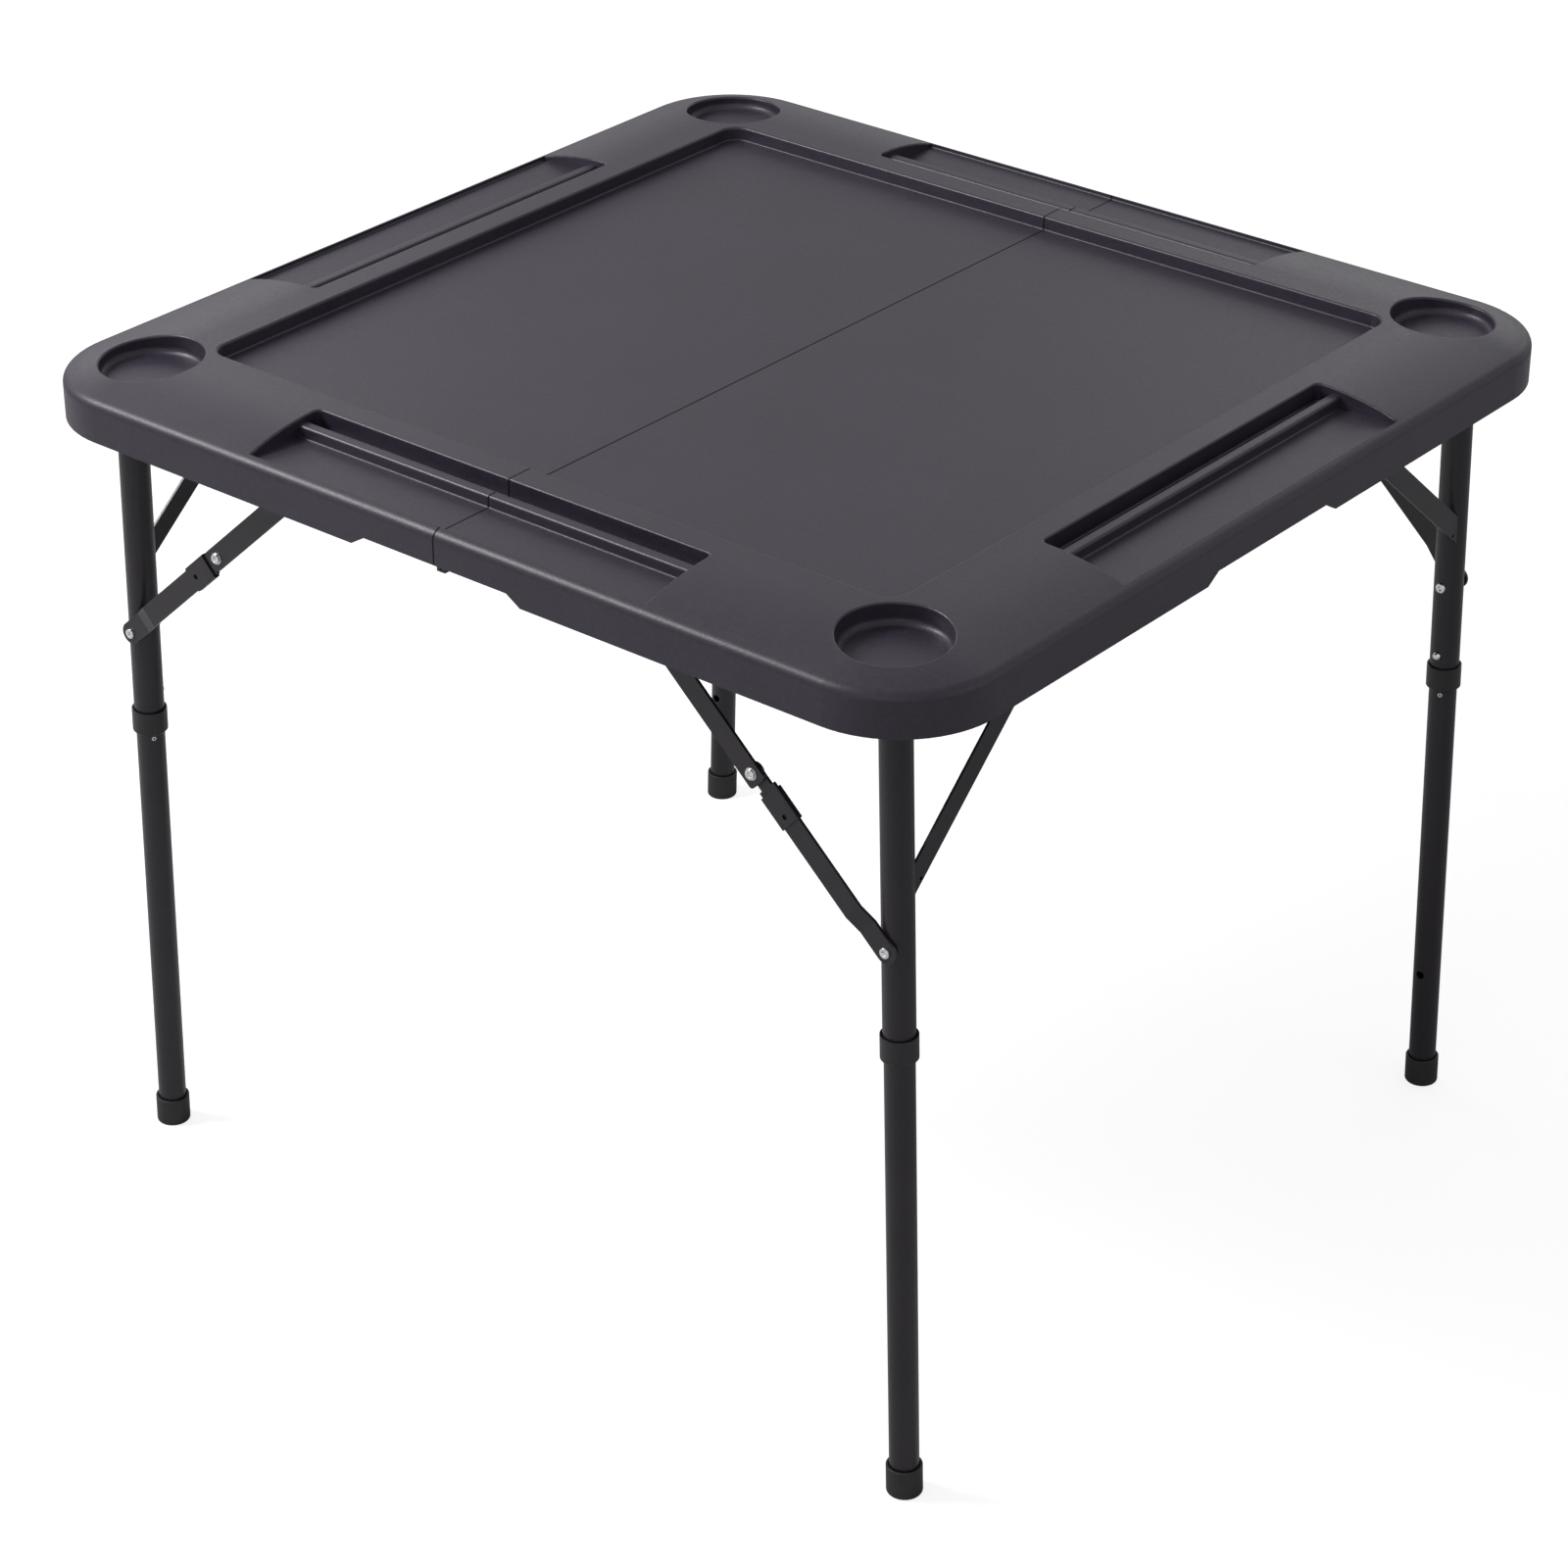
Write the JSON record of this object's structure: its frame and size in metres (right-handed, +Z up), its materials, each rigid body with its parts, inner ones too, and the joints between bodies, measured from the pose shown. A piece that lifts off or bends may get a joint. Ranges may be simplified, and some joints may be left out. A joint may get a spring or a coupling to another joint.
{
  "type": "folding game table",
  "caption": "Square fold-in-half game table with sunken field, tile racks, cup holders and braced folding legs.",
  "frame": {"origin": "on the floor under the middle of the open table", "axes": "+Z up, X across the centre seam towards the right half, Y along the seam"},
  "size_m": [0.88, 0.84, 0.711],
  "materials": {
    "top_plastic": "fine-grained moulded plastic, dark charcoal",
    "frame_paint": "satin black powder coat",
    "bright_metal": "bright zinc plate",
    "hinge_steel": "zinc-plated sheet",
    "black_plastic": "smooth moulded plastic",
    "foot_rubber": "matt rubber"
  },
  "bodies": {
    "right_half": {"top_half_right": "top_plastic", "hinge_leaves_right": "hinge_steel", "hinge_pins": "bright_metal", "underside_screws_right": "bright_metal", "saddle_straps_right": "frame_paint", "brace_brackets_right": "frame_paint"},
    "left_half": {"top_half_left": "top_plastic", "hinge_leaves_left": "hinge_steel", "underside_screws_left": "bright_metal", "saddle_straps_left": "frame_paint", "brace_brackets_left": "frame_paint", "handle_brackets": "black_plastic", "handle_pins": "bright_metal"},
    "handle": {"carry_handle": "black_plastic"},
    "leg_frame_right": {"cross_tube_right": "frame_paint", "leg_stays_right": "frame_paint", "frame_rivets_right": "bright_metal", "upper_leg_right_front": "frame_paint", "upper_leg_right_back": "frame_paint", "leg_collar_right_front": "black_plastic", "leg_collar_right_back": "black_plastic"},
    "lower_leg_right_front": {"lower_leg_right_front": "frame_paint", "foot_cap_right_front": "foot_rubber"},
    "snap_button_right_front": {"snap_button_right_front": "bright_metal"},
    "upper_bar_right_front": {"brace_upper_bar_right_front": "frame_paint"},
    "lower_bar_right_front": {"brace_lower_bar_right_front": "frame_paint", "brace_rivets_right_front": "bright_metal"},
    "lock_sleeve_right_front": {"lock_sleeve_right_front": "frame_paint"},
    "lower_leg_right_back": {"lower_leg_right_back": "frame_paint", "foot_cap_right_back": "foot_rubber"},
    "snap_button_right_back": {"snap_button_right_back": "bright_metal"},
    "upper_bar_right_back": {"brace_upper_bar_right_back": "frame_paint"},
    "lower_bar_right_back": {"brace_lower_bar_right_back": "frame_paint", "brace_rivets_right_back": "bright_metal"},
    "lock_sleeve_right_back": {"lock_sleeve_right_back": "frame_paint"},
    "leg_frame_left": {"cross_tube_left": "frame_paint", "leg_stays_left": "frame_paint", "frame_rivets_left": "bright_metal", "upper_leg_left_front": "frame_paint", "upper_leg_left_back": "frame_paint", "leg_collar_left_front": "black_plastic", "leg_collar_left_back": "black_plastic"},
    "lower_leg_left_front": {"lower_leg_left_front": "frame_paint", "foot_cap_left_front": "foot_rubber"},
    "snap_button_left_front": {"snap_button_left_front": "bright_metal"},
    "upper_bar_left_front": {"brace_upper_bar_left_front": "frame_paint"},
    "lower_bar_left_front": {"brace_lower_bar_left_front": "frame_paint", "brace_rivets_left_front": "bright_metal"},
    "lock_sleeve_left_front": {"lock_sleeve_left_front": "frame_paint"},
    "lower_leg_left_back": {"lower_leg_left_back": "frame_paint", "foot_cap_left_back": "foot_rubber"},
    "snap_button_left_back": {"snap_button_left_back": "bright_metal"},
    "upper_bar_left_back": {"brace_upper_bar_left_back": "frame_paint"},
    "lower_bar_left_back": {"brace_lower_bar_left_back": "frame_paint", "brace_rivets_left_back": "bright_metal"},
    "lock_sleeve_left_back": {"lock_sleeve_left_back": "frame_paint"}
  },
  "joints": [
    {"name": "half_fold", "type": "hinge", "parent": "right_half", "child": "left_half", "pos_m": [0, 0, 0.664], "axis": [0, -1, 0], "range_deg": [0, 55]},
    {"name": "handle_swing", "type": "hinge", "parent": "left_half", "child": "handle", "pos_m": [-0.427, 0, 0.669], "axis": [0, 1, 0], "range_deg": [-60, 90]},
    {"name": "leg_fold_right", "type": "hinge", "parent": "right_half", "child": "leg_frame_right", "pos_m": [0.37547, 0, 0.678], "axis": [0, 1, 0], "range_deg": [0, 91.65]},
    {"name": "leg_slide_right_front", "type": "slide", "parent": "leg_frame_right", "child": "lower_leg_right_front", "axis": [-0.0288, 0, 0.9996], "range_m": [0, 0.30429]},
    {"name": "button_press_right_front", "type": "slide", "parent": "leg_frame_right", "child": "snap_button_right_front", "axis": [0, -1, 0], "range_m": [0, 0.003], "stiffness_N_per_m": 700},
    {"name": "upper_bar_swing_right_front", "type": "hinge", "parent": "right_half", "child": "upper_bar_right_front", "pos_m": [0.16047, -0.363, 0.678], "axis": [0, 1, 0], "range_deg": [0, 137.43]},
    {"name": "elbow_right_front", "type": "hinge", "parent": "upper_bar_right_front", "child": "lower_bar_right_front", "pos_m": [0.26647, -0.363, 0.5806], "axis": [0, -1, 0], "range_deg": [0, 180.01]},
    {"name": "sleeve_slide_right_front", "type": "slide", "parent": "lower_bar_right_front", "child": "lock_sleeve_right_front", "axis": [0.7364, 0, -0.6766], "range_m": [-0.008, 0.026]},
    {"name": "leg_slide_right_back", "type": "slide", "parent": "leg_frame_right", "child": "lower_leg_right_back", "axis": [-0.0288, 0, 0.9996], "range_m": [0, 0.30429]},
    {"name": "button_press_right_back", "type": "slide", "parent": "leg_frame_right", "child": "snap_button_right_back", "axis": [0, 1, 0], "range_m": [0, 0.003], "stiffness_N_per_m": 700},
    {"name": "upper_bar_swing_right_back", "type": "hinge", "parent": "right_half", "child": "upper_bar_right_back", "pos_m": [0.16047, 0.363, 0.678], "axis": [0, 1, 0], "range_deg": [0, 137.43]},
    {"name": "elbow_right_back", "type": "hinge", "parent": "upper_bar_right_back", "child": "lower_bar_right_back", "pos_m": [0.26647, 0.363, 0.5806], "axis": [0, -1, 0], "range_deg": [0, 180.01]},
    {"name": "sleeve_slide_right_back", "type": "slide", "parent": "lower_bar_right_back", "child": "lock_sleeve_right_back", "axis": [0.7364, 0, -0.6766], "range_m": [-0.008, 0.026]},
    {"name": "leg_fold_left", "type": "hinge", "parent": "left_half", "child": "leg_frame_left", "pos_m": [-0.37547, 0, 0.678], "axis": [0, -1, 0], "range_deg": [0, 91.65]},
    {"name": "leg_slide_left_front", "type": "slide", "parent": "leg_frame_left", "child": "lower_leg_left_front", "axis": [0.0288, 0, 0.9996], "range_m": [0, 0.30429]},
    {"name": "button_press_left_front", "type": "slide", "parent": "leg_frame_left", "child": "snap_button_left_front", "axis": [0, -1, 0], "range_m": [0, 0.003], "stiffness_N_per_m": 700},
    {"name": "upper_bar_swing_left_front", "type": "hinge", "parent": "left_half", "child": "upper_bar_left_front", "pos_m": [-0.16047, -0.363, 0.678], "axis": [0, -1, 0], "range_deg": [0, 137.43]},
    {"name": "elbow_left_front", "type": "hinge", "parent": "upper_bar_left_front", "child": "lower_bar_left_front", "pos_m": [-0.26647, -0.363, 0.5806], "axis": [0, 1, 0], "range_deg": [0, 180.01]},
    {"name": "sleeve_slide_left_front", "type": "slide", "parent": "lower_bar_left_front", "child": "lock_sleeve_left_front", "axis": [-0.7364, 0, -0.6766], "range_m": [-0.008, 0.026]},
    {"name": "leg_slide_left_back", "type": "slide", "parent": "leg_frame_left", "child": "lower_leg_left_back", "axis": [0.0288, 0, 0.9996], "range_m": [0, 0.30429]},
    {"name": "button_press_left_back", "type": "slide", "parent": "leg_frame_left", "child": "snap_button_left_back", "axis": [0, 1, 0], "range_m": [0, 0.003], "stiffness_N_per_m": 700},
    {"name": "upper_bar_swing_left_back", "type": "hinge", "parent": "left_half", "child": "upper_bar_left_back", "pos_m": [-0.16047, 0.363, 0.678], "axis": [0, -1, 0], "range_deg": [0, 137.43]},
    {"name": "elbow_left_back", "type": "hinge", "parent": "upper_bar_left_back", "child": "lower_bar_left_back", "pos_m": [-0.26647, 0.363, 0.5806], "axis": [0, 1, 0], "range_deg": [0, 180.01]},
    {"name": "sleeve_slide_left_back", "type": "slide", "parent": "lower_bar_left_back", "child": "lock_sleeve_left_back", "axis": [-0.7364, 0, -0.6766], "range_m": [-0.008, 0.026]}
  ],
  "couplings": [
    {"joint": "leg_slide_right_front", "follows": "leg_fold_right", "m_per_rad": 0.19022},
    {"joint": "upper_bar_swing_right_front", "follows": "leg_fold_right", "ratio": 1.4994},
    {"joint": "elbow_right_front", "follows": "leg_fold_right", "ratio": 1.964},
    {"joint": "leg_slide_right_back", "follows": "leg_fold_right", "m_per_rad": 0.19022},
    {"joint": "upper_bar_swing_right_back", "follows": "leg_fold_right", "ratio": 1.4994},
    {"joint": "elbow_right_back", "follows": "leg_fold_right", "ratio": 1.964},
    {"joint": "leg_slide_left_front", "follows": "leg_fold_left", "m_per_rad": 0.19022},
    {"joint": "upper_bar_swing_left_front", "follows": "leg_fold_left", "ratio": 1.4994},
    {"joint": "elbow_left_front", "follows": "leg_fold_left", "ratio": 1.964},
    {"joint": "leg_slide_left_back", "follows": "leg_fold_left", "m_per_rad": 0.19022},
    {"joint": "upper_bar_swing_left_back", "follows": "leg_fold_left", "ratio": 1.4994},
    {"joint": "elbow_left_back", "follows": "leg_fold_left", "ratio": 1.964}
  ]
}
